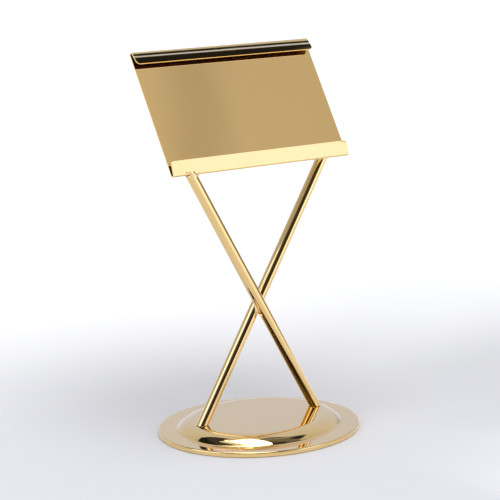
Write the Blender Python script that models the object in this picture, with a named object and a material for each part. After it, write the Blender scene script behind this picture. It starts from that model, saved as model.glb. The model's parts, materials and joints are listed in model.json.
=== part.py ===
"""Brass bible stand: a folded sheet plate carried by two crossed tubes on an oval domed base.

Units are metres. The origin is on the ground at the middle of the base; +Z is up, +X runs along the
plate's width and the reader stands on the -Y side.
"""

import math

import bmesh
import bpy
from mathutils import Matrix, Vector

# ---------------------------------------------------------------- driving dimensions
GAP = 0.0003  # clearance left between pieces that touch
SHEET = 0.0012  # brass sheet of the plate and of the base shell

PLATE_WIDTH = 0.2286
PLATE_HEIGHT = 0.1410  # along the slope, over both rolled lips
PLATE_LEAN = math.radians(32.4)  # back from upright
PLATE_FOOT = Vector((0, -0.0046, 0.2857))  # lower end of the plate's mid-plane
LIP_RADIUS = 0.0027  # outside of the roll that turns the sheet into a lip
LIP_WALL = 0.0138  # from the roll to the free edge
LIP_FLARE = math.radians(13.6)  # mean opening angle between lip and plate
LIP_BOW = 0.13  # the lip bulges forwards on this radius
LIP_CORNER = 0.004  # rounding of the lip's free corners

ROD_RADIUS = 0.0060
ROD_WALL = 0.0012
FOOT_X = 0.0702  # where the rods' axes meet the top of the base
FOOT_Y = 0.0070  # the front rod stands this far forward, the rear rod this far back
TOP_X = 0.0893  # where the axes pass the level of the plate's lower edge
FRONT_TOP_Y = -0.0028
REAR_TOP_Y = 0.0076

BASE_X = 0.1134  # semi-axes of the oval
BASE_Y = 0.0965
RIM_LIFT = 0.0004  # the felt holds the metal rim this far off the ground
RIM_HEIGHT = 0.0052
RIM_ROUND = 0.0015
FLANGE_RUN = 0.0165
DOME_RISE = 0.0093
CREASE_RADIUS = 0.0030
SHOULDER_RADIUS = 0.0240

FELT = 0.0014
BOARD = 0.0020
BACKING = 0.0030
BACKING_INSET = 0.0420  # from the outside of the base to the edge of the backing plate

SCREW_RADIUS = 0.0020
SCREW_REACH = 0.0070  # how far a screw stands into the plug
SCREW_INWARD = 0.0022  # the screw is off the rod's foot, where the leaning plug has the most metal
HEAD_RADIUS = 0.0035
HEAD_HEIGHT = 0.0026
SCREW_CHAMFER = 0.0004
SOCKET_RADIUS = 0.0014  # to the corners of the hexagon
SOCKET_DEPTH = 0.0014
SOCKET_SIDES = 6
WASHER_RADIUS = 0.0050
WASHER = 0.0010
PLUG_LENGTH = 0.0150

BRAZE_WIDTH = 0.0022  # how far the braze stands out round a rod's top
BRAZE_DEPTH = 0.0026
CROSSING_RADIUS = 0.0070
CROSSING_DEPTH = 0.0026

FOOT_SPARE = 0.030  # a rod's bar is made this much too long at each end, then cut to fit
TOP_SPARE = 0.040
SPARE = 0.010  # how far any other cutting shape reaches past the piece it cuts
ROOM_REACH = 0.030  # the space kept clear of rods in front of the plate

ROUND = 32  # sides of a rod
SMALL_ROUND = 24  # sides of a smaller round piece
OVAL = 72  # sides of an oval one
ROLL_STEPS = 14  # straight pieces in the roll of a lip
CORNER_STEPS = 6
ROOM_STEPS = 12
PROFILE_STEPS = 5  # straight pieces in each curve of the base's profile

# ---------------------------------------------------------------- derived places
FLANGE_TOP = RIM_LIFT + RIM_HEIGHT
DOME_TOP = FLANGE_TOP + DOME_RISE
BACKING_TOP = DOME_TOP - SHEET - GAP
WASHER_TOP = BACKING_TOP - BACKING - GAP
HEAD_TOP = WASHER_TOP - WASHER - GAP
SCREW_HOLE = SCREW_RADIUS + GAP
PLUG_RADIUS = ROD_RADIUS - ROD_WALL - GAP

# name, side of the foot along X, and depth of its foot and top along Y
RODS = {
    "front_rod": (1, -FOOT_Y, FRONT_TOP_Y),
    "rear_rod": (-1, FOOT_Y, REAR_TOP_Y),
}


def rod_foot(rod):
    side, foot_y, _ = RODS[rod]
    return Vector((side * FOOT_X, foot_y, DOME_TOP))


def rod_top(rod):
    side, _, top_y = RODS[rod]
    return Vector((-side * TOP_X, top_y, PLATE_FOOT.z))


def screw_place(rod):
    side, foot_y, _ = RODS[rod]
    return Vector((side * (FOOT_X - SCREW_INWARD), foot_y, 0))


# ---------------------------------------------------------------- materials
def metal(name, colour, roughness, metallic=1.0):
    material = bpy.data.materials.new(name)
    material.use_nodes = True
    shader = material.node_tree.nodes["Principled BSDF"]
    shader.inputs["Base Color"].default_value = (*colour, 1)
    shader.inputs["Roughness"].default_value = roughness
    shader.inputs["Metallic"].default_value = metallic
    return material


def polished_brass(name):
    return metal(name, (0.83, 0.62, 0.31), 0.07)


def braze_metal(name):
    return metal(name, (0.80, 0.60, 0.30), 0.22)


def turned_brass(name):
    return metal(name, (0.78, 0.58, 0.28), 0.3)


def plain_steel(name):
    return metal(name, (0.52, 0.52, 0.53), 0.4)


def felt_cloth(name):
    return metal(name, (0.012, 0.012, 0.014), 0.95, metallic=0.0)


def brown_board(name):
    return metal(name, (0.16, 0.09, 0.05), 0.85, metallic=0.0)


# ---------------------------------------------------------------- modelling helpers
def add_object(name, bm, make_material, smooth_degrees=35):
    """A new object from a bmesh, smooth except where its faces meet at more than smooth_degrees."""
    mesh = bpy.data.meshes.new(name)
    bm.to_mesh(mesh)
    bm.free()
    mesh.shade_smooth()
    mesh.set_sharp_from_angle(angle=math.radians(smooth_degrees))
    obj = bpy.data.objects.new(name, mesh)
    bpy.context.scene.collection.objects.link(obj)
    if make_material:
        mesh.materials.append(make_material(name))
    return obj


def make_cutter(name, bm):
    obj = add_object(name, bm, None)
    obj.hide_render = True
    obj.display_type = "WIRE"
    return obj


def boolean(obj, cutter, operation="DIFFERENCE"):
    modifier = obj.modifiers.new(cutter.name, "BOOLEAN")
    modifier.operation = operation
    modifier.object = cutter
    modifier.solver = "EXACT"


def walk(start, heading, steps, segments):
    """Points along a path of (length, turn) steps; a step with a turn is an arc in equal segments."""
    point, points = Vector(start), [Vector(start)]
    for length, turn in steps:
        count = segments if turn else 1
        half = turn / count / 2
        chord = length / count * (math.sin(half) / half if turn else 1)
        for _ in range(count):
            heading += half
            point = point + chord * Vector((math.cos(heading), math.sin(heading)))
            heading += half
            points.append(point)
    return points


def bridge(bm, rings, caps):
    """Quads between rings of equal length, with the first and last ring filled if caps is true."""
    for lower, upper in zip(rings, rings[1:]):
        for i, vert in enumerate(lower):
            j = (i + 1) % len(lower)
            bm.faces.new((vert, lower[j], upper[j], upper[i]))
    if caps:
        bm.faces.new(reversed(rings[0]))
    bm.faces.new(rings[-1])


def oval_ring(bm, inset, z, sides=OVAL):
    turns = (2 * math.pi * i / sides for i in range(sides))
    return [
        bm.verts.new(((BASE_X - inset) * math.cos(t), (BASE_Y - inset) * math.sin(t), z))
        for t in turns
    ]


def oval_slab(name, inset, bottom, top, make_material):
    bm = bmesh.new()
    bridge(bm, [oval_ring(bm, inset, bottom), oval_ring(bm, inset, top)], caps=True)
    return add_object(name, bm, make_material)


def round_bar(radius, length, sides=ROUND):
    """A bmesh bar along +Z that starts at the origin."""
    bm = bmesh.new()
    middle = Matrix.Translation((0, 0, length / 2))
    bmesh.ops.create_cone(
        bm, cap_ends=True, segments=sides, radius1=radius, radius2=radius, depth=length, matrix=middle
    )
    return bm


def box(size, middle):
    bm = bmesh.new()
    place = Matrix.Translation(middle) @ Matrix.Diagonal((*size, 1))
    bmesh.ops.create_cube(bm, size=1, matrix=place)
    return bm


def turned(profile, sides=ROUND):
    """A bmesh turned about +Z from (radius, z) points that run up the outside between two caps."""
    bm = bmesh.new()
    rings = []
    for radius, z in profile:
        turns = (2 * math.pi * i / sides for i in range(sides))
        rings.append([bm.verts.new((radius * math.cos(t), radius * math.sin(t), z)) for t in turns])
    bridge(bm, rings, caps=True)
    return bm


def point_along(obj, start, end):
    """Puts the object's +Z axis on the line from start to end."""
    obj.location = start
    obj.rotation_euler = (end - start).to_track_quat("Z", "Y").to_euler()


def lay_on_plate(obj):
    """Local +Y runs up the plate's slope and local +Z out of its front."""
    obj.location = PLATE_FOOT
    obj.rotation_euler = (math.pi / 2 - PLATE_LEAN, 0, 0)


# ---------------------------------------------------------------- plate
def lip_path():
    """(forward, up) points of the sheet's middle, from the flat of the plate round to the free edge."""
    middle_radius = LIP_RADIUS - SHEET / 2
    bow = LIP_WALL / LIP_BOW
    roll = math.pi - LIP_FLARE - bow / 2
    start = (0, LIP_RADIUS)
    return walk(start, -math.pi / 2, [(middle_radius * roll, roll)], ROLL_STEPS), bow


def lip_rows():
    """(half width, forward, up) rows of one lip, from the plate to the free edge."""
    path, bow = lip_path()
    half = PLATE_WIDTH / 2
    rows = [(half, p.x, p.y) for p in path]
    heading = math.pi / 2 - LIP_FLARE - bow / 2
    edge_distance = [LIP_WALL, LIP_WALL * 3 / 4, LIP_WALL / 2]
    corner_turns = [math.pi / 2 * k / CORNER_STEPS for k in range(CORNER_STEPS + 1)]
    edge_distance += [LIP_CORNER * (1 - math.sin(turn)) for turn in corner_turns]
    point = path[-1]
    for far, near in zip(edge_distance, edge_distance[1:]):
        turn = (far - near) / LIP_BOW
        heading += turn / 2
        point = point + (far - near) * Vector((math.cos(heading), math.sin(heading)))
        heading += turn / 2
        into_corner = max(LIP_CORNER - near, 0)
        inset = LIP_CORNER - math.sqrt(LIP_CORNER**2 - into_corner**2)
        rows.append((half - inset, point.x, point.y))
    return rows


def book_plate():
    """One sheet with a lip rolled forwards along its lower edge and a matching one along its top."""
    lower = lip_rows()
    rows = lower[::-1] + [(half, forward, PLATE_HEIGHT - up) for half, forward, up in lower]
    bm = bmesh.new()
    pairs = [
        (bm.verts.new((-half, up, forward)), bm.verts.new((half, up, forward)))
        for half, forward, up in rows
    ]
    for (left, right), (next_left, next_right) in zip(pairs, pairs[1:]):
        bm.faces.new((left, right, next_right, next_left))
    obj = add_object("book_plate", bm, polished_brass)
    lay_on_plate(obj)
    solidify = obj.modifiers.new("sheet", "SOLIDIFY")
    solidify.thickness = SHEET
    solidify.offset = 0
    solidify.use_even_offset = True


def plate_room():
    """Everything in front of the plate's back, with the lower roll, kept GAP away from the metal."""
    roll, back = LIP_RADIUS + GAP, -SHEET / 2 - GAP
    middle = Vector((back + roll, LIP_RADIUS))
    outline = [Vector((back, PLATE_HEIGHT / 2))]
    turns = [math.pi / 2 * k / ROOM_STEPS for k in range(ROOM_STEPS + 1)]
    outline += [middle - roll * Vector((math.cos(turn), math.sin(turn))) for turn in turns]
    outline += [Vector((ROOM_REACH, LIP_RADIUS - roll)), Vector((ROOM_REACH, PLATE_HEIGHT / 2))]
    bm = bmesh.new()
    half = PLATE_WIDTH / 2 + SPARE
    rings = [[bm.verts.new((x, p.y, p.x)) for p in outline] for x in (-half, half)]
    bridge(bm, rings, caps=True)
    bmesh.ops.recalc_face_normals(bm, faces=bm.faces)
    obj = make_cutter("plate_room", bm)
    lay_on_plate(obj)
    return obj


# ---------------------------------------------------------------- rods
def rod_line(obj, rod, before=FOOT_SPARE):
    """Puts a bar on the rod's axis, starting this far before the foot."""
    foot, top = rod_foot(rod), rod_top(rod)
    point_along(obj, foot - before * (top - foot).normalized(), top)


def rod_length(rod):
    return (rod_top(rod) - rod_foot(rod)).length + FOOT_SPARE + TOP_SPARE


def make_rod(rod, above, ground):
    """A brass tube, cut level at its foot and saddled at its top to the back of the plate."""
    bm = round_bar(ROD_RADIUS, rod_length(rod))
    obj = add_object(rod, bm, polished_brass)
    rod_line(obj, rod)
    bore_bar = round_bar(ROD_RADIUS - ROD_WALL, rod_length(rod) + 2 * SPARE)
    bore = make_cutter(rod + "_bore", bore_bar)
    rod_line(bore, rod, FOOT_SPARE + SPARE)
    for cutter in (bore, above, ground):
        boolean(obj, cutter)


def make_plug(rod, ground, hole):
    """A brass plug brazed into the foot of the tube, tapped for the screw that holds the base."""
    bar = round_bar(PLUG_RADIUS, SPARE + PLUG_LENGTH, SMALL_ROUND)
    obj = add_object(rod + "_plug", bar, turned_brass)
    rod_line(obj, rod, SPARE)
    boolean(obj, ground)
    boolean(obj, hole)


def rod_room(rod):
    obj = make_cutter(rod + "_room", round_bar(ROD_RADIUS + GAP, rod_length(rod)))
    rod_line(obj, rod)
    return obj


def make_top_braze(rod, room, behind):
    """The collar of braze metal between a rod's top and the back of the plate."""
    bar = round_bar(ROD_RADIUS + BRAZE_WIDTH, rod_length(rod))
    obj = add_object(rod + "_braze", bar, braze_metal)
    rod_line(obj, rod)
    boolean(obj, behind, "INTERSECT")
    boolean(obj, room)


def behind_plate():
    """The thin slab behind the plate that the braze fills."""
    top = -SHEET / 2 - GAP
    size = (PLATE_WIDTH, PLATE_HEIGHT / 2, BRAZE_DEPTH)
    middle = (0, LIP_RADIUS + PLATE_HEIGHT / 4, top - BRAZE_DEPTH / 2)
    obj = make_cutter("behind_plate", box(size, middle))
    lay_on_plate(obj)
    return obj


def nearest_points(rod_a, rod_b):
    """The point on each rod's axis that is nearest to the other rod."""
    a, b = rod_foot(rod_a), rod_foot(rod_b)
    u, v = (rod_top(rod_a) - a).normalized(), (rod_top(rod_b) - b).normalized()
    w, uv = a - b, u.dot(v)
    down = 1 - uv * uv
    s = (uv * v.dot(w) - u.dot(w)) / down
    t = (v.dot(w) - uv * u.dot(w)) / down
    return a + s * u, b + t * v


def make_crossing_braze(rooms):
    """Braze metal in the crevice round the point where the rods touch."""
    front, rear = nearest_points("front_rod", "rear_rod")
    middle, across = (front + rear) / 2, (rear - front).normalized()
    bar = round_bar(CROSSING_RADIUS, 2 * CROSSING_DEPTH, SMALL_ROUND)
    obj = add_object("crossing_braze", bar, braze_metal)
    point_along(obj, middle - CROSSING_DEPTH * across, middle)
    for room in rooms:
        boolean(obj, room)


# ---------------------------------------------------------------- base
def base_profile():
    """(inset, z) points of the shell's outside, from the rim's lower edge to the flat of the dome."""
    rise = math.acos(1 - DOME_RISE / (CREASE_RADIUS + SHOULDER_RADIUS))
    steps = [
        (RIM_HEIGHT - RIM_ROUND, 0),
        (RIM_ROUND * math.pi / 2, -math.pi / 2),
        (FLANGE_RUN, 0),
        (CREASE_RADIUS * rise, rise),
        (SHOULDER_RADIUS * rise, -rise),
    ]
    return walk((0, RIM_LIFT), math.pi / 2, steps, PROFILE_STEPS)


def base_shell(holes):
    """The pressed oval dome, open underneath and pierced for the two screws."""
    bm = bmesh.new()
    bridge(bm, [oval_ring(bm, p.x, p.y) for p in base_profile()], caps=False)
    obj = add_object("base_shell", bm, polished_brass)
    solidify = obj.modifiers.new("sheet", "SOLIDIFY")
    solidify.thickness = SHEET
    solidify.offset = -1
    solidify.use_even_offset = True
    for hole in holes:
        boolean(obj, hole)


def backing_plate(holes):
    """A steel oval under the dome that spreads the screws' pull and weighs the base down."""
    obj = oval_slab("backing_plate", BACKING_INSET, BACKING_TOP - BACKING, BACKING_TOP, plain_steel)
    for hole in holes:
        boolean(obj, hole)


def screw_hole(rod):
    bm = round_bar(SCREW_HOLE, DOME_TOP + SCREW_REACH + GAP, SMALL_ROUND)
    obj = make_cutter(rod + "_screw_hole", bm)
    obj.location = screw_place(rod)
    return obj


def make_screw(rod):
    """A socket screw that passes up through washer, backing plate and shell into the rod's plug."""
    neck, tip = HEAD_TOP, DOME_TOP + SCREW_REACH
    bottom = neck - HEAD_HEIGHT
    profile = [
        (HEAD_RADIUS - SCREW_CHAMFER, bottom),
        (HEAD_RADIUS, bottom + SCREW_CHAMFER),
        (HEAD_RADIUS, neck),
        (SCREW_RADIUS, neck),
        (SCREW_RADIUS, tip - SCREW_CHAMFER),
        (SCREW_RADIUS - SCREW_CHAMFER, tip),
    ]
    obj = add_object(rod + "_screw", turned(profile, SMALL_ROUND), plain_steel)
    obj.location = screw_place(rod)
    socket = make_cutter(rod + "_socket", round_bar(SOCKET_RADIUS, 2 * SOCKET_DEPTH, SOCKET_SIDES))
    socket.location = screw_place(rod) + Vector((0, 0, bottom - SOCKET_DEPTH))
    boolean(obj, socket)


def make_washer(rod, hole):
    obj = add_object(rod + "_washer", round_bar(WASHER_RADIUS, WASHER, SMALL_ROUND), plain_steel)
    obj.location = screw_place(rod) + Vector((0, 0, WASHER_TOP - WASHER))
    boolean(obj, hole)


def underside():
    """A board inside the rim closes the base, and a felt pad glued to it stands on the table."""
    inside = SHEET + GAP
    oval_slab("base_felt", inside, 0, FELT, felt_cloth)
    oval_slab("bottom_board", inside, FELT + GAP, FELT + GAP + BOARD, brown_board)


# ---------------------------------------------------------------- assembly
def clear_scene():
    for obj in list(bpy.data.objects):
        bpy.data.objects.remove(obj, do_unlink=True)


def main():
    clear_scene()
    above, behind = plate_room(), behind_plate()
    width, depth = 2 * BASE_X, 2 * FOOT_SPARE
    ground_box = box((width, width, depth), (0, 0, DOME_TOP + GAP - depth / 2))
    ground = make_cutter("under_feet", ground_box)
    holes = {rod: screw_hole(rod) for rod in RODS}
    rooms = {rod: rod_room(rod) for rod in RODS}

    book_plate()
    for rod in RODS:
        make_rod(rod, above, ground)
        make_plug(rod, ground, holes[rod])
        make_top_braze(rod, rooms[rod], behind)
        make_washer(rod, holes[rod])
        make_screw(rod)
    make_crossing_braze(rooms.values())
    base_shell(holes.values())
    backing_plate(holes.values())
    underside()


main()
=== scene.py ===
"""The looks of the brass bible stand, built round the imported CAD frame.

Units are metres. X runs to the reader's right, Y away from the reader and Z up.
"""

import json
import math

import bmesh
import bpy
import numpy as np
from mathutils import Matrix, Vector


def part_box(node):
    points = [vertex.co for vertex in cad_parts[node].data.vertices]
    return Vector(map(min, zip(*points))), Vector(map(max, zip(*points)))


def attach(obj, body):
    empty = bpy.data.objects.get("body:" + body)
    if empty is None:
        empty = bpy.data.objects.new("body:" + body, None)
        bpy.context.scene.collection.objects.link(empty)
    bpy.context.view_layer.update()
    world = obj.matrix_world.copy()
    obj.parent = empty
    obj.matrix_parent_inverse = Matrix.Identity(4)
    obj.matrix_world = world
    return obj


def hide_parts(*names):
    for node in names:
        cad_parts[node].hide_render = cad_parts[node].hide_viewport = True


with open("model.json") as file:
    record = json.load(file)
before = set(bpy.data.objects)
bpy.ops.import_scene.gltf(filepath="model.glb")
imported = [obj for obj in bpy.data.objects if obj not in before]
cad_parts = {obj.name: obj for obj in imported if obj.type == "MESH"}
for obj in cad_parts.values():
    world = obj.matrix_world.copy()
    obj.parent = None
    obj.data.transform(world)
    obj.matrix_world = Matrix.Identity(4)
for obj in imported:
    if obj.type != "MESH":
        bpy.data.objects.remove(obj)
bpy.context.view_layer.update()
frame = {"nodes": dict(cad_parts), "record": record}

# ---------------------------------------------------------------- sizes taken from the frame
PLATE_LOW, PLATE_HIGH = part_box("book_plate")
SHELL_LOW, SHELL_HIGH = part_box("base_shell")
MOUNTS = {mount["name"]: mount for mount in frame["record"]["mounts"]}

SHEET = 0.0012
HAIR = 0.0003  # the gap that the CAD leaves between touching pieces
PLATE_WIDTH = PLATE_HIGH.x - PLATE_LOW.x
PLATE_NORMAL = Vector(MOUNTS["book_rest"]["axis"])
PLATE_UP = PLATE_NORMAL.cross(Vector((1, 0, 0)))
LIP_RADIUS = 0.0027
LIP_WALL = 0.0138
LIP_FLARE = math.radians(13.6)
LIP_BOW = 0.13
ROLL_TRIM = 0.000015  # the finely divided roll is this much smaller, to stay within the CAD's box
LIP_CORNER = 0.004
PLATE_HEIGHT = 0.1410
PLATE_FOOT = Vector((0, -0.0046, 0.2857))

ROD_RADIUS = 0.0060
ROD_WALL = 0.0012
FOOT_X, FOOT_Y = 0.0702, 0.0070
TOP_X, FRONT_TOP_Y, REAR_TOP_Y = 0.0893, -0.0028, 0.0076
# The side that each rod's foot is on, and where its foot and its top are along Y.
RODS = {
    "front_rod": (1, -FOOT_Y, FRONT_TOP_Y),
    "rear_rod": (-1, FOOT_Y, REAR_TOP_Y),
}

BASE_X, BASE_Y = SHELL_HIGH.x, SHELL_HIGH.y
RIM_LIFT = SHELL_LOW.z
RIM_HEIGHT = 0.0052
RIM_ROUND = 0.0015
FLANGE_RUN = 0.0165
CREASE_RADIUS = 0.0030
SHOULDER_RADIUS = 0.0240
TOP_RUN = 0.0300  # the flat of the dome is modelled this far in, then closed by one face
FLANGE_TOP = RIM_LIFT + RIM_HEIGHT
DOME_TOP = SHELL_HIGH.z
DOME_RISE = DOME_TOP - FLANGE_TOP

# ---------------------------------------------------------------- camera and studio
VIEW_TURN = math.radians(36.61)  # the camera stands this far round to the reader's left
VIEW_DOWN = math.radians(12.21)
VIEW_DISTANCE = 2.1656
AIM_RIGHT, AIM_UP = -0.010125, 0.19171  # the point that the camera looks at, across and up its view
LENS, SENSOR = 144.95, 36.0  # millimetres
FAR_CLIP = 50


def make_camera():
    """The camera of the photograph."""
    flat = Vector((math.sin(VIEW_TURN), math.cos(VIEW_TURN), 0))
    forward = flat * math.cos(VIEW_DOWN) - Vector((0, 0, math.sin(VIEW_DOWN)))
    right = forward.cross(Vector((0, 0, 1))).normalized()
    up = right.cross(forward)
    camera = bpy.data.objects.new("camera", bpy.data.cameras.new("camera"))
    camera.data.lens, camera.data.sensor_width = LENS, SENSOR
    camera.data.clip_end = FAR_CLIP
    camera.location = AIM_RIGHT * right + AIM_UP * up - VIEW_DISTANCE * forward
    camera.rotation_euler = forward.to_track_quat("-Z", "Y").to_euler()
    bpy.context.scene.collection.objects.link(camera)
    bpy.context.scene.camera = camera


def add_soft_box(name, place, aim, size, brightness, tint):
    """A rectangular area light at a place, facing another, with its surface brightness."""
    light = bpy.data.lights.new(name, "AREA")
    light.shape, light.size, light.size_y = "RECTANGLE", size[0], size[1]
    light.energy = brightness * math.pi * size[0] * size[1]
    light.color = tint
    obj = bpy.data.objects.new(name, light)
    obj.location = place
    obj.rotation_euler = (Vector(place) - Vector(aim)).to_track_quat("Z", "Y").to_euler()
    bpy.context.scene.collection.objects.link(obj)


class Nodes:
    """Short calls that add shader nodes to one tree."""

    def __init__(self, owner):
        owner.use_nodes = True
        self.tree = owner.node_tree

    def add(self, kind, **settings):
        node = self.tree.nodes.new("ShaderNode" + kind)
        for key, value in settings.items():
            setattr(node, key, value)
        return node

    def feed(self, socket, value):
        if isinstance(value, bpy.types.NodeSocket):
            self.tree.links.new(value, socket)
        else:
            socket.default_value = value

    def join(self, kind, *values, **settings):
        """The first output of a new node whose sockets take these values in turn, None to skip one."""
        node = self.add(kind, **settings)
        for socket, value in zip(node.inputs, values):
            if value is not None:
                self.feed(socket, value)
        return node.outputs[0]

    def math(self, operation, *values):
        return self.join("Math", *values, operation=operation)

    def distance(self, value, middle):
        """How far a number is from a middle one, without its sign."""
        return self.math("ABSOLUTE", self.math("SUBTRACT", value, middle))

    def blend(self, factor, low, high):
        """low where the factor is 0 and high where it is 1, for numbers."""
        return self.join("Mix", factor, None, low, high, data_type="FLOAT")

    def tint(self, factor, low, high):
        """low where the factor is 0 and high where it is 1, for colours."""
        return self.join("MixRGB", factor, low, high)

    def smooth(self, value, low, high):
        """0 at low, 1 at high and a soft rise between them."""
        return self.join("MapRange", value, low, high, 0.0, 1.0, interpolation_type="SMOOTHSTEP")

    def scale(self, value, low, high, to_low, to_high):
        """to_low at low, to_high at high and a straight rise between them."""
        return self.join("MapRange", value, low, high, to_low, to_high)

    def around(self, azimuth, stops):
        """A number read from (azimuth, number) stops that run from -180 to 180."""
        node = self.add("ValToRGB")
        ramp = node.color_ramp
        ramp.interpolation = "EASE"
        while len(ramp.elements) < len(stops):
            ramp.elements.new(0.5)
        for element, (degrees, number) in zip(ramp.elements, stops):
            element.position = (degrees + 180) / 360
            element.color = (number, number, number, 1)
        self.feed(node.inputs[0], self.scale(azimuth, -180, 180, 0.0, 1.0))
        return node.outputs[0]

    def paint(self, sockets):
        """Feeds the main shader's sockets, given by name."""
        shader = self.tree.nodes["Principled BSDF"]
        for name, value in sockets.items():
            self.feed(shader.inputs[name], value)

    def compass(self, vector):
        """(azimuth, elevation) in degrees of a direction: azimuth 0 is -Y, the reader, and 90 is +X."""
        split = self.add("SeparateXYZ")
        self.feed(split.inputs[0], vector)
        x, y, z = split.outputs
        azimuth = self.math("ARCTAN2", x, self.math("MULTIPLY", y, -1.0))
        elevation = self.math("ARCSINE", z)
        degree = math.radians(1)
        return self.math("DIVIDE", azimuth, degree), self.math("DIVIDE", elevation, degree)


# The light tent. Angles are in degrees: azimuth as in Nodes.compass, and elevation.
# (azimuth, brightness) round the horizon, and higher up the walls.
HORIZON = [
    (-180, 0.67), (-155, 0.62), (-140, 0.48), (-125, 0.42), (-112, 0.46), (-98, 0.55),
    (-60, 0.55), (-52, 0.20), (-42, 0.04), (0, 0.02), (6, 0.10), (14, 0.45), (20, 0.60),
    (46, 0.60), (53, 0.66), (60, 0.42), (70, 0.26), (80, 0.21), (95, 0.27), (108, 0.36),
    (120, 0.52), (132, 0.68), (145, 0.72), (160, 0.67), (180, 0.67),
]
WALLS = [
    (-180, 0.66), (-150, 0.62), (-138, 0.48), (-125, 0.42), (-112, 0.50), (-98, 0.55),
    (-60, 0.40), (-52, 0.20), (-42, 0.05), (-5, 0.03), (8, 0.30), (20, 0.52), (47, 0.60),
    (53, 0.56), (75, 0.60), (100, 0.66), (180, 0.66),
]
HORIZON_END, WALLS_START = 6.0, 16.0  # one gives way to the other between these elevations
# (azimuth, elevation) at which the walls end and the dark ceiling begins.
CEILING = [
    (-180, 62), (-168, 58), (-150, 50), (-135, 44), (-110, 44), (-60, 44), (0, 50), (12, 54),
    (38, 49), (48, 47), (62, 49.5), (87.5, 50), (90, 62), (109, 65), (123, 88), (165, 88),
    (180, 62),
]
CEILING_SOFTNESS = 1.5
# (azimuth, brightness) high up on the ceiling, and next to the walls.
OVERHEAD = [(-180, 0.05), (0, 0.05), (32, 0.06), (46, 0.16), (100, 0.16), (180, 0.05)]
CEILING_EDGE = [(-180, 0.015), (38, 0.015), (44, 0.16), (60, 0.16), (65, 0.015), (180, 0.015)]
EDGE_END, OVERHEAD_START = 57.0, 62.0
ZENITH = 90.0
# A soft crease in the cloth of the right-hand wall, where azimuth less elevation is near this.
CREASE_PLACE, CREASE_CORE, CREASE_REACH, CREASE_BRIGHTNESS = 8.0, 0.3, 2.2, 0.83
# A narrow gap of daylight between two panels of the ceiling.
GAP_AZIMUTH, GAP_CORE, GAP_REACH = 83.5, 0.5, 1.7
DAYLIGHT = (0.62, 0.75, 1.3, 1)
WARM, COOL = (1.02, 0.985, 0.95, 1), (0.97, 1.01, 1.17, 1)
WARM_END, COOL_START = 60.0, 110.0  # the light turns cooler this far round from the reader
BACKDROP = 1.0  # brightness of the room behind the floor's far edge


def tent_brightness(nodes, azimuth, elevation):
    """The brightness of the tent in each direction, and 1 where that direction is in its ceiling."""
    off_crease = nodes.distance(nodes.math("SUBTRACT", azimuth, elevation), CREASE_PLACE)
    crease = nodes.blend(nodes.smooth(off_crease, CREASE_CORE, CREASE_REACH), CREASE_BRIGHTNESS, 1.0)
    walls = nodes.math("MULTIPLY", nodes.around(azimuth, WALLS), crease)
    higher = nodes.smooth(elevation, HORIZON_END, WALLS_START)
    lower_part = nodes.blend(higher, nodes.around(azimuth, HORIZON), walls)
    limit_shares = [(degrees, limit / ZENITH) for degrees, limit in CEILING]
    limit = nodes.math("MULTIPLY", nodes.around(azimuth, limit_shares), ZENITH)
    in_ceiling = nodes.smooth(
        nodes.math("SUBTRACT", elevation, limit), -CEILING_SOFTNESS, CEILING_SOFTNESS
    )
    highest = nodes.smooth(elevation, EDGE_END, OVERHEAD_START)
    ceiling = nodes.blend(highest, nodes.around(azimuth, CEILING_EDGE), nodes.around(azimuth, OVERHEAD))
    return nodes.blend(in_ceiling, lower_part, ceiling), in_ceiling


def make_world():
    """The tent as the brass mirrors it, with a plain backdrop for the camera itself."""
    world = bpy.data.worlds.new("light_tent")
    bpy.context.scene.world = world
    nodes = Nodes(world)
    azimuth, elevation = nodes.compass(nodes.add("TexCoord").outputs["Generated"])
    brightness, in_ceiling = tent_brightness(nodes, azimuth, elevation)
    side = nodes.smooth(nodes.math("ABSOLUTE", azimuth), WARM_END, COOL_START)
    tent = world.node_tree.nodes["Background"]
    nodes.feed(tent.inputs["Color"], nodes.tint(side, WARM, COOL))
    nodes.feed(tent.inputs["Strength"], brightness)
    in_gap = nodes.smooth(nodes.distance(azimuth, GAP_AZIMUTH), GAP_REACH, GAP_CORE)
    daylight = nodes.join("Background", DAYLIGHT, nodes.math("MULTIPLY", in_gap, in_ceiling))
    lit = nodes.join("AddShader", tent.outputs[0], daylight)
    plain = nodes.join("Background", None, BACKDROP)
    seen = nodes.add("LightPath").outputs["Is Camera Ray"]
    surface = nodes.join("MixShader", seen, lit, plain)
    nodes.feed(world.node_tree.nodes["World Output"].inputs["Surface"], surface)


BOX_HEIGHT = 1.5
# name, place, the point that it faces, size, brightness and tint
SOFT_BOXES = [
    ("overhead_box", (-0.055, -0.29, BOX_HEIGHT), (-0.055, -0.29, 0), (0.63, 1.06), 4.6, (1, 1, 1)),
    ("fill_box", (-0.50, -0.29, BOX_HEIGHT), (-0.50, -0.29, 0), (0.24, 1.06), 0.7, (1, 1, 1)),
    ("key_box", (1.08, -1.69, 0.73), (0, 0, 0.73), (0.90, 1.40), 0.93, (0.74, 0.84, 1.22)),
    ("side_box", (-1.49, -0.16, 0.75), (0, 0, 0.75), (1.05, 1.20), 1.3, (0.85, 1.0, 1.4)),
]


def make_lights():
    for soft_box in SOFT_BOXES:
        add_soft_box(*soft_box)


# ---------------------------------------------------------------- floor
FLOOR_REACH = 6
PAPER = (0.92, 0.91, 0.89, 1)
# (azimuth, brightness) that the floor gains between these distances from the stand.
GLOW_START, GLOW_END = 0.12, 0.60
FLOOR_GLOW = [
    (-180, 0.30), (-150, 0.28), (-110, 0.10), (-70, 0.02), (5, 0.02), (20, 0.30), (44, 0.30),
    (60, 0.02), (95, 0.02), (120, 0.22), (150, 0.30), (180, 0.30),
]
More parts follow.
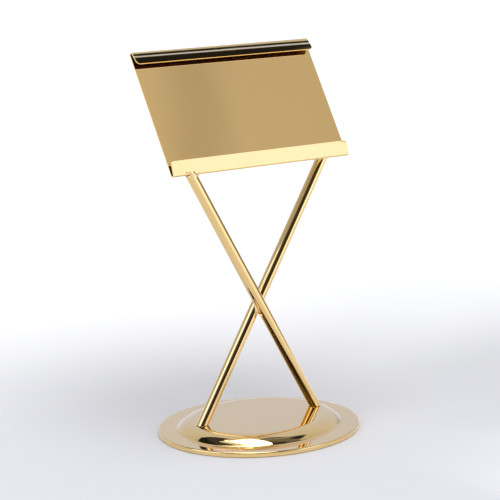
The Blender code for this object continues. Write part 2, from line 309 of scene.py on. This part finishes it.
# Its brightness all round, which rises from near to far between these distances.
FAR_START, FAR_END = 0.25, 1.40
NEAR_BRIGHTNESS, FAR_BRIGHTNESS = 0.03, 0.50


def studio_paper():
    """Matt pale paper that glows faintly where it is away from the stand."""
    material, nodes, place = start_material("studio_paper")
    azimuth, _ = nodes.compass(place)
    length = nodes.add("VectorMath", operation="LENGTH")
    nodes.feed(length.inputs[0], place)
    distance = length.outputs["Value"]
    away = nodes.smooth(distance, GLOW_START, GLOW_END)
    glow = nodes.math("MULTIPLY", away, nodes.around(azimuth, FLOOR_GLOW))
    far = nodes.blend(nodes.smooth(distance, FAR_START, FAR_END), NEAR_BRIGHTNESS, FAR_BRIGHTNESS)
    nodes.paint(
        {
            "Base Color": PAPER,
            "Roughness": 0.9,
            "Specular IOR Level": 0.2,
            "Emission Color": (1, 1, 1, 1),
            "Emission Strength": nodes.math("ADD", glow, far),
        }
    )
    return material


def make_stage():
    """The paper floor, which isn't part of the object."""
    bm = bmesh.new()
    bmesh.ops.create_grid(bm, x_segments=1, y_segments=1, size=FLOOR_REACH)
    new_object("studio_floor", bm, studio_paper())


# ---------------------------------------------------------------- mesh helpers
def new_object(name, bm, material=None, sharp_degrees=35):
    mesh = bpy.data.meshes.new(name)
    bm.to_mesh(mesh)
    bm.free()
    mesh.shade_smooth()
    mesh.set_sharp_from_angle(angle=math.radians(sharp_degrees))
    if material:
        mesh.materials.append(material)
    obj = bpy.data.objects.new(name, mesh)
    bpy.context.scene.collection.objects.link(obj)
    return obj


def soften(obj, width, segments=3):
    """A rounded break along the sharp edges, with the flat faces left flat to the eye."""
    bevel = obj.modifiers.new("edge", "BEVEL")
    bevel.width, bevel.segments = width, segments
    bevel.limit_method, bevel.angle_limit = "ANGLE", math.radians(50)
    normals = obj.modifiers.new("normals", "WEIGHTED_NORMAL")
    normals.keep_sharp, normals.weight = True, 100


def add_to_frame(obj, slot, *nodes):
    """The piece rides on the frame and stands for the CAD nodes, which it hides. The slot is not used.
    """
    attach(obj, "root")
    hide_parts(*nodes)


def walk(start, heading, steps, spacing):
    """Points along a path of (length, turn) steps, an arc where there is a turn."""
    point, points = Vector(start), [Vector(start)]
    for length, turn in steps:
        count = max(1, round(length / spacing))
        half = turn / count / 2
        chord = length / count * (math.sin(half) / half if turn else 1)
        for _ in range(count):
            heading += half
            point = point + chord * Vector((math.cos(heading), math.sin(heading)))
            heading += half
            points.append(point)
    return points


def bridge(bm, rings, closed=True):
    """Faces between each ring of points and the next, all the way round if they are closed."""
    for lower, upper in zip(rings, rings[1:]):
        for i in range(len(lower) if closed else len(lower) - 1):
            j = (i + 1) % len(lower)
            bm.faces.new((lower[i], lower[j], upper[j], upper[i]))


def on_plate(x, up, forward):
    """A point of the row frame from a place on the plate: up its slope, and out of its front."""
    return Vector((x, 0, 0)) + PLATE_FOOT + up * PLATE_UP + forward * PLATE_NORMAL


# ---------------------------------------------------------------- materials
BRASS = (0.93, 0.655, 0.27)
DEEP_BRASS = (0.90, 0.60, 0.22)
BRAZE = (0.92, 0.74, 0.44)
STEEL = (0.52, 0.52, 0.53)
TURNED_BRASS = (0.80, 0.58, 0.27)
# The darker and the lighter tone of each.
# The fold tones are painted shade: a dark brown standing for the shade inside the plate's lips.
FOLD_SHADE_TONES = (0.075, 0.030, 0.010, 1), (0.14, 0.062, 0.022, 1)
FELT_TONES = (0.006, 0.006, 0.007, 1), (0.03, 0.03, 0.033, 1)
BOARD_TONES = (0.09, 0.045, 0.022, 1), (0.24, 0.14, 0.08, 1)
# Features in each metre of polished brass, and the heights of two of them.
TONES, SMUDGES, POLISH_LINES, WAVES = 14, 38, 500, 11
LINE_HEIGHT, WAVE_HEIGHT = 0.0000006, 0.00012
RUBBED = 0.012  # roughness that the polishing lines add
TOOL_MARKS, MARK_HEIGHT = 1400, 0.00002  # the same two for the marks on bare metal


def start_material(name):
    """A material, the calls that add its nodes, and the object's own coordinates."""
    material = bpy.data.materials.new(name)
    nodes = Nodes(material)
    return material, nodes, nodes.add("TexCoord").outputs["Object"]


def noise(nodes, place, scale, detail=2.0, stretch=(1, 1, 1)):
    """A noise value from 0 to 1 with about `scale` features in each metre, stretched along an axis."""
    mapping = nodes.add("Mapping")
    nodes.feed(mapping.inputs["Scale"], stretch)
    nodes.feed(mapping.inputs["Vector"], place)
    texture = nodes.add("TexNoise")
    nodes.feed(texture.inputs["Vector"], mapping.outputs[0])
    nodes.feed(texture.inputs["Scale"], scale)
    nodes.feed(texture.inputs["Detail"], detail)
    return texture.outputs[0]


def bump(nodes, height, distance, under=None):
    """A bump `distance` metres high, laid over another one if one is given."""
    node = nodes.add("Bump")
    nodes.feed(node.inputs["Distance"], distance)
    nodes.feed(node.inputs["Height"], height)
    if under:
        nodes.feed(node.inputs["Normal"], under)
    return node.outputs[0]


def brass(name, roughness=0.03, smudge=0.035, tone=0.35, polish=(1, 1, 1), coat=1.0, metal=BRASS):
    """Polished brass: faint tone changes, smudges, polishing lines, a slight wave and clear lacquer."""
    material, nodes, place = start_material(name)
    tones = nodes.scale(noise(nodes, place, TONES, 3), 0.35, 0.75, 0.0, tone)
    smudges = nodes.scale(noise(nodes, place, SMUDGES, 4), 0.50, 0.75, roughness, roughness + smudge)
    lines = noise(nodes, place, POLISH_LINES, 2, polish)
    rubbed = nodes.scale(lines, 0.40, 0.80, 0.0, RUBBED)
    wave = bump(nodes, noise(nodes, place, WAVES, 1), WAVE_HEIGHT)
    nodes.paint(
        {
            "Base Color": nodes.tint(tones, (*metal, 1), (*DEEP_BRASS, 1)),
            "Roughness": nodes.math("ADD", smudges, rubbed),
            "Normal": bump(nodes, lines, LINE_HEIGHT, wave),
            "Metallic": 1,
            "Coat Weight": coat,
            "Coat Roughness": 0.03,
            "Coat IOR": 1.5,
        }
    )
    return material


def painted_shade_brass(name):
    """The inside of a tight fold: rough, unpolished metal whose dark brown colour is painted shade,
    standing for the shade inside the fold.
    """
    material, nodes, place = start_material(name)
    cloud = nodes.scale(noise(nodes, place, 160, 4), 0.3, 0.7, 0.0, 1.0)
    nodes.paint(
        {
            # painted shade: the dark brown colour stands for the shade inside the fold
            "Base Color": nodes.tint(cloud, *FOLD_SHADE_TONES),
            "Roughness": nodes.scale(cloud, 0.0, 1.0, 0.30, 0.45),
            "Normal": bump(nodes, noise(nodes, place, 900, 3), 0.00003),
            "Metallic": 0.8,
        }
    )
    return material


def machined(name, colour, roughness):
    """Bare turned or rolled metal with fine tool marks."""
    material, nodes, place = start_material(name)
    marks = noise(nodes, place, TOOL_MARKS, 3, (0.15, 0.15, 1))
    darker = tuple(c * 0.72 for c in colour)
    nodes.paint(
        {
            "Base Color": nodes.tint(noise(nodes, place, 260, 3), (*darker, 1), (*colour, 1)),
            "Roughness": nodes.scale(marks, 0.3, 0.7, roughness - 0.08, roughness + 0.1),
            "Normal": bump(nodes, marks, MARK_HEIGHT),
            "Metallic": 1,
        }
    )
    return material


def fibrous(name, dark, light, grain, depth, sheen=0.0):
    """Felt or fibreboard: matted fibres of two tones, in patches."""
    material, nodes, place = start_material(name)
    fibres = noise(nodes, place, grain, 6)
    patches = nodes.scale(noise(nodes, place, grain / 12, 2), 0.3, 0.7, 0.7, 1.3)
    mottle = nodes.scale(nodes.math("MULTIPLY", fibres, patches), 0.3, 0.75, 0.0, 1.0)
    nodes.paint(
        {
            "Base Color": nodes.tint(mottle, dark, light),
            "Roughness": 0.95,
            "Normal": bump(nodes, fibres, depth),
            "Sheen Weight": sheen,
            "Sheen Roughness": 0.4,
        }
    )
    return material


# ---------------------------------------------------------------- plate
ROLL_SPACING = 0.0004
WALL_ROWS, CORNER_ROWS = 8, 12  # rows of faces in the straight wall of a lip, and in its corners
FLAT_ROWS, PLATE_COLUMNS = 24, 48
NEAR_ROLL = 0.0003  # the flat's first and last rows are this far from the rolls
PLATE_EDGE = 0.0003


def lip_rows():
    """(half width, forward, up) rows of one lip, from the plate to the free edge."""
    half_width = PLATE_WIDTH / 2
    radius = LIP_RADIUS - SHEET / 2 - ROLL_TRIM
    bow = LIP_WALL / LIP_BOW
    roll = math.pi - LIP_FLARE - bow / 2
    path = walk((0, LIP_RADIUS - ROLL_TRIM), -math.pi / 2, [(radius * roll, roll)], ROLL_SPACING)
    rows = [(half_width, p.x, p.y) for p in path]
    heading = math.pi / 2 - LIP_FLARE - bow / 2
    straight = [LIP_WALL - (LIP_WALL - LIP_CORNER) * k / WALL_ROWS for k in range(WALL_ROWS)]
    turns = [math.pi / 2 * k / CORNER_ROWS for k in range(CORNER_ROWS + 1)]
    rounded = [LIP_CORNER * (1 - math.sin(turn)) for turn in turns]
    point, distances = path[-1], straight + rounded
    for far, near in zip(distances, distances[1:]):
        turn = (far - near) / LIP_BOW
        heading += turn / 2
        point = point + (far - near) * Vector((math.cos(heading), math.sin(heading)))
        heading += turn / 2
        into_corner = max(LIP_CORNER - near, 0)
        inset = LIP_CORNER - math.sqrt(LIP_CORNER**2 - into_corner**2)
        rows.append((half_width - inset, point.x, point.y))
    return rows


def folded_plate(polished, fold_shade):
    """The folded sheet, polished all over except inside its two lips, which carry painted shade."""
    lower = lip_rows()
    bottom = LIP_RADIUS + NEAR_ROLL
    run = PLATE_HEIGHT - 2 * bottom
    flat = [(PLATE_WIDTH / 2, 0, bottom + run * k / FLAT_ROWS) for k in range(FLAT_ROWS + 1)]
    upper = [(half, forward, PLATE_HEIGHT - up) for half, forward, up in lower]
    bm = bmesh.new()
    rows = []
    for half, forward, up in lower[::-1] + flat + upper:
        xs = [half * (2 * i / PLATE_COLUMNS - 1) for i in range(PLATE_COLUMNS + 1)]
        rows.append([bm.verts.new(on_plate(x, up, forward)) for x in xs])
    bridge(bm, rows, closed=False)
    # the front of the sheet is polished on the flat and carries painted shade in the lips, and its back
    # is all polished
    for index, face in enumerate(bm.faces):
        on_flat = len(lower) - 1 < index // PLATE_COLUMNS < len(lower) + len(flat)
        face.material_index = 0 if on_flat else 1
    obj = new_object("folded_plate", bm)
    for material in (polished, fold_shade, polished, polished):
        obj.data.materials.append(material)
    solidify = obj.modifiers.new("sheet", "SOLIDIFY")
    solidify.thickness, solidify.offset, solidify.use_even_offset = SHEET, 0, True
    solidify.material_offset, solidify.material_offset_rim = 2, 2
    soften(obj, PLATE_EDGE)
    add_to_frame(obj, "polished_brass", "book_plate")


# ---------------------------------------------------------------- rods
ROD_SIDES = 96
ROD_ROWS = 20
END_SHARE = 0.01  # one more row stands this share of the length from each end
ROD_EDGE = 0.0002
SHORTEST, LONGEST = 0.20, 0.45  # every line of a rod's wall meets the plate between these lengths


def rod_foot(rod):
    """The point where a rod's axis meets the dome's top."""
    side, foot_y, _ = RODS[rod]
    return Vector((side * FOOT_X, foot_y, DOME_TOP))


def rod_top(rod):
    """The point of a rod's axis that is level with the foot of the plate."""
    side, _, top_y = RODS[rod]
    return Vector((-side * TOP_X, top_y, PLATE_FOOT.z))


def rod_axis(rod):
    return (rod_top(rod) - rod_foot(rod)).normalized()


def from_rod(points, rod):
    """The distance of each point from the rod's surface, below zero inside it."""
    axis = np.array(rod_axis(rod))
    offset = points - np.array(rod_foot(rod))
    return np.linalg.norm(offset - np.outer(offset @ axis, axis), axis=1) - ROD_RADIUS


def from_plate(points, gap=0.0):
    """How far each point is behind the plate's back and lower roll, below zero inside them."""
    offset = points - np.array(PLATE_FOOT)
    up, forward = offset @ np.array(PLATE_UP), offset @ np.array(PLATE_NORMAL)
    back = -SHEET / 2 - gap
    roll = LIP_RADIUS + gap
    rolled = np.hypot(up - LIP_RADIUS, forward - back - roll) - roll
    return np.where(up > LIP_RADIUS, back - forward, rolled)


def halve(outside, near, far, rounds=40):
    """For each line, the length where it stops being outside, between near and far."""
    near, far = near.copy(), far.copy()
    for _ in range(rounds):
        middle = (near + far) / 2
        out = outside(middle)
        near, far = np.where(out, middle, near), np.where(out, far, middle)
    return near


def tube_lines(rod, radius, sides):
    """(start, lower end, upper end) of the straight lines that make up a tube's wall."""
    axis = rod_axis(rod)
    across = axis.cross(Vector((0, 1, 0))).normalized()
    outwards = across.cross(axis)
    turns = [2 * math.pi * i / sides for i in range(sides)]
    starts = np.array(
        [rod_foot(rod) + radius * (math.cos(t) * across + math.sin(t) * outwards) for t in turns]
    )
    low = (DOME_TOP + HAIR - starts[:, 2]) / axis.z
    along = np.array(axis)
    shortest, longest = np.full(sides, SHORTEST), np.full(sides, LONGEST)
    high = halve(lambda d: from_plate(starts + d[:, None] * along, HAIR) > 0, shortest, longest)
    return starts, low, high


def tube(rod, material):
    """A hollow rod, cut level at its foot and to the plate's back at its top."""
    axis = np.array(rod_axis(rod))
    shares = [0.0, END_SHARE] + [k / ROD_ROWS for k in range(1, ROD_ROWS)] + [1 - END_SHARE, 1.0]
    bm = bmesh.new()
    walls = []
    for radius in (ROD_RADIUS, ROD_RADIUS - ROD_WALL):
        starts, low, high = tube_lines(rod, radius, ROD_SIDES)
        walls.append(
            [
                [bm.verts.new(p) for p in starts + (low + (high - low) * share)[:, None] * axis]
                for share in shares
            ]
        )
    outer, inner = walls
    bridge(bm, outer + inner[::-1] + outer[:1])
    bmesh.ops.recalc_face_normals(bm, faces=bm.faces)
    obj = new_object(rod.replace("rod", "tube"), bm, material)
    soften(obj, ROD_EDGE, 2)
    add_to_frame(obj, "polished_brass", rod)


# ---------------------------------------------------------------- brazed joints
BRAZE_INSET = 0.0012  # the braze stops this far inside the plate's side edges
SUNK = 0.00012  # a lump lies this far inside the rod where it adds nothing to it
LUMP_DETAIL = 6
LUMP_ROUNDS = 24
CROSSING_SOFTNESS = 0.0042  # how widely the braze fills the crevice between the rods
CROSSING_REACH = 0.014
DROP = (-0.0004, -0.0010, -0.0044)  # from the crossing to the drop of braze in the crotch below it
DROP_RADIUS = 0.0023
DROP_SOFTNESS = 0.0030
TOP_SOFTNESS = 0.0042
TOP_REACH = 0.017
INTO_PLATE = 0.0004  # a top lump is centred this far past the plate's back


def soft_union(a, b, softness):
    """The smooth minimum of two distances, which fills the corner between two surfaces."""
    mix = np.clip(0.5 + 0.5 * (b - a) / softness, 0, 1)
    return b * (1 - mix) + a * mix - softness * mix * (1 - mix)


def lump(name, centre, field, reach, material, *nodes):
    """A closed smooth lump of braze metal: where the field is zero, at most `reach` from its centre."""
    bm = bmesh.new()
    bmesh.ops.create_icosphere(bm, subdivisions=LUMP_DETAIL, radius=1)
    rays = np.array([v.co for v in bm.verts])
    centre = np.array(centre)
    shortest, longest = np.zeros(len(rays)), np.full(len(rays), reach)
    lengths = halve(lambda d: field(centre + d[:, None] * rays) < 0, shortest, longest, LUMP_ROUNDS)
    for vert, point in zip(bm.verts, centre + lengths[:, None] * rays):
        vert.co = point
    obj = new_object(name, bm, material, sharp_degrees=60)
    add_to_frame(obj, "braze_metal", *nodes)


def crossing_lump(material):
    """Braze in the crevice where the rods touch, with a drop in the crotch below it."""
    a, b = rod_foot("front_rod"), rod_foot("rear_rod")
    u, v = rod_axis("front_rod"), rod_axis("rear_rod")
    across = u.cross(v).normalized()
    along_a = (b - a).cross(v).dot(u.cross(v)) / u.cross(v).length_squared
    front = a + along_a * u
    centre = front + (b - front).dot(across) / 2 * across
    drop = np.array(centre) + np.array(DROP)

    def field(points):
        front_rod, rear_rod = from_rod(points, "front_rod"), from_rod(points, "rear_rod")
        rods = soft_union(front_rod, rear_rod, CROSSING_SOFTNESS)
        in_drop = np.linalg.norm(points - drop, axis=1) - DROP_RADIUS
        return soft_union(rods, in_drop, DROP_SOFTNESS) + SUNK

    lump("crossing_fillet", centre, field, CROSSING_REACH, material, "crossing_braze")


def top_lump(rod, material):
    """The fillet between a rod's top and the back of the plate."""
    foot, axis = np.array(rod_foot(rod)), np.array(rod_axis(rod))
    shortest, longest = np.array([SHORTEST]), np.array([LONGEST])
    meets = halve(lambda d: from_plate(foot + d[:, None] * axis) > 0, shortest, longest)
    centre = foot + (meets[0] + INTO_PLATE) * axis

    def field(points):
        behind = from_plate(points)
        joined = soft_union(from_rod(points, rod), behind, TOP_SOFTNESS) + SUNK
        beside = np.abs(points[:, 0]) - PLATE_WIDTH / 2 + BRAZE_INSET
        return np.maximum(np.maximum(joined, -behind - SHEET / 2), beside)

    lump(rod + "_fillet", centre, field, TOP_REACH, material, rod + "_braze")


# ---------------------------------------------------------------- base
OVAL_SIDES = 288
PROFILE_SPACING = 0.0005
BASE_EDGE, FELT_EDGE, BOARD_EDGE = 0.0004, 0.0004, 0.0002


def oval_ring(bm, inset, z):
    """Points round the base's outline, moved in by the inset, at one height."""
    turns = (2 * math.pi * i / OVAL_SIDES for i in range(OVAL_SIDES))
    return [
        bm.verts.new(((BASE_X - inset) * math.cos(t), (BASE_Y - inset) * math.sin(t), z)) for t in turns
    ]


def oval_base(material):
    """The pressed oval dome with its flange and turned-down rim, open underneath."""
    rise = math.acos(1 - DOME_RISE / (CREASE_RADIUS + SHOULDER_RADIUS))
    steps = [
        (RIM_HEIGHT - RIM_ROUND, 0),
        (RIM_ROUND * math.pi / 2, -math.pi / 2),
        (FLANGE_RUN, 0),
        (CREASE_RADIUS * rise, rise),
        (SHOULDER_RADIUS * rise, -rise),
        (TOP_RUN, 0),
    ]
    profile = walk((0, RIM_LIFT), math.pi / 2, steps, PROFILE_SPACING)
    bm = bmesh.new()
    rings = [oval_ring(bm, p.x, p.y) for p in profile]
    bridge(bm, rings)
    bm.faces.new(rings[-1])
    obj = new_object("oval_base", bm, material)
    solidify = obj.modifiers.new("sheet", "SOLIDIFY")
    solidify.thickness, solidify.offset, solidify.use_even_offset = SHEET, -1, True
    soften(obj, BASE_EDGE)
    add_to_frame(obj, "polished_brass", "base_shell")


def oval_pad(name, node, material, slot, edge):
    """A fine oval layer with a softened edge, the size of its CAD node."""
    low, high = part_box(node)
    bm = bmesh.new()
    inset = BASE_X - high.x
    rings = [
        oval_ring(bm, inset + edge, low.z),
        oval_ring(bm, inset, low.z + edge),
        oval_ring(bm, inset, high.z - edge),
        oval_ring(bm, inset + edge, high.z),
    ]
    bridge(bm, rings)
    bm.faces.new(rings[-1])
    bm.faces.new(reversed(rings[0]))
    obj = new_object(name, bm, material)
    add_to_frame(obj, slot, node)
    return obj


def underside():
    """The felt pad, laid against the board that closes the base."""
    felt = fibrous("black_felt", *FELT_TONES, grain=2600, depth=0.0003, sheen=0.25)
    board = fibrous("brown_board", *BOARD_TONES, grain=900, depth=0.0001)
    pad = oval_pad("felt_pad", "base_felt", felt, "black_felt", FELT_EDGE)
    oval_pad("fibre_board", "bottom_board", board, "brown_board", BOARD_EDGE)


def hidden_hardware():
    """New finishes for the small pieces inside, whose CAD shapes stay."""
    steel = machined("plain_steel", STEEL, roughness=0.36)
    turned = machined("turned_brass", TURNED_BRASS, roughness=0.28)
    for name, node in frame["nodes"].items():
        if name.endswith("_plug"):
            node.material_slots[0].material = turned
        elif name.endswith(("_screw", "_washer")) or name == "backing_plate":
            node.material_slots[0].material = steel


# ---------------------------------------------------------------- the whole
def main():
    bpy.context.scene.view_settings.view_transform = "Standard"
    make_camera()
    make_world()
    make_lights()
    make_stage()
    # the insides of the plate's lips take a painted shade
    folded_plate(brass("plate_brass"), painted_shade_brass("fold_shade_brass"))
    rod_finish = brass("rod_brass", polish=(1, 1, 0.1))
    for rod in RODS:
        tube(rod, rod_finish)
    braze = brass("braze_brass", roughness=0.36, smudge=0.10, tone=0.1, coat=0.0, metal=BRAZE)
    crossing_lump(braze)
    for rod in RODS:
        top_lump(rod, braze)
    oval_base(brass("base_brass"))
    underside()
    hidden_hardware()


main()
